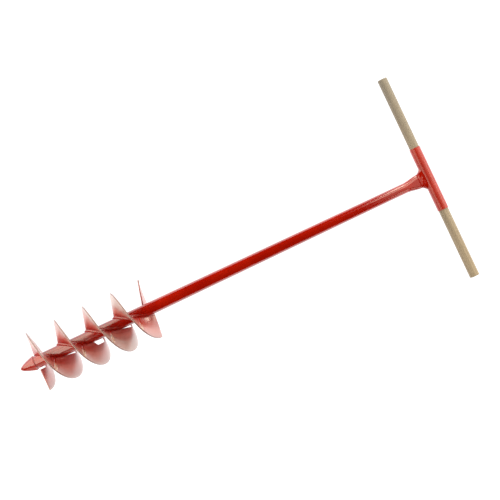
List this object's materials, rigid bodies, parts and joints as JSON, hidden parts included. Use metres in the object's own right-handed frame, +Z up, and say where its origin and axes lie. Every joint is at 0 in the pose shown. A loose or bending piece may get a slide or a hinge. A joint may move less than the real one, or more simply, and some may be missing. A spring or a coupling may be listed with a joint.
{
  "type": "hand auger",
  "caption": "Red hand auger with a pointed pilot, a welded screw flight, a tapered tube shaft and a wooden cross handle in a steel sleeve.",
  "frame": {"origin": "on the ground under the middle of the box of the auger as it lies at rest", "axes": "+X from the pilot point to the handle, +Y along the wooden handle, +Z up"},
  "size_m": [1.1, 0.526, 0.1704],
  "materials": {
    "red_paint": "glossy red enamel on the shaft and welds",
    "flight_paint": "glossy red enamel, thin and streaked, on the flight plates",
    "sleeve_paint": "satin red enamel on the handle sleeve",
    "raw_wood": "bare weathered straight-grained wood"
  },
  "bodies": {
    "root": {"shaft_tube": "red_paint", "neck_weld": "red_paint", "pilot_point": "red_paint", "pilot_weld": "red_paint", "flight_section_1": "flight_paint", "flight_section_2": "flight_paint", "flight_section_3": "flight_paint", "flight_section_4": "flight_paint", "flight_section_5": "flight_paint", "section_weld_1": "flight_paint", "root_weld_upper_1": "red_paint", "root_weld_lower_1": "red_paint", "section_weld_2": "flight_paint", "root_weld_upper_2": "red_paint", "root_weld_lower_2": "red_paint", "section_weld_3": "flight_paint", "root_weld_upper_3": "red_paint", "root_weld_lower_3": "red_paint", "section_weld_4": "flight_paint", "root_weld_upper_4": "red_paint", "root_weld_lower_4": "red_paint", "handle_sleeve": "sleeve_paint"},
    "handle": {"wooden_handle": "raw_wood"}
  },
  "joints": [
    {"name": "handle_slide", "type": "slide", "parent": "root", "child": "handle", "axis": [0, 1, 0], "range_m": [-0.184, 0.179]}
  ]
}
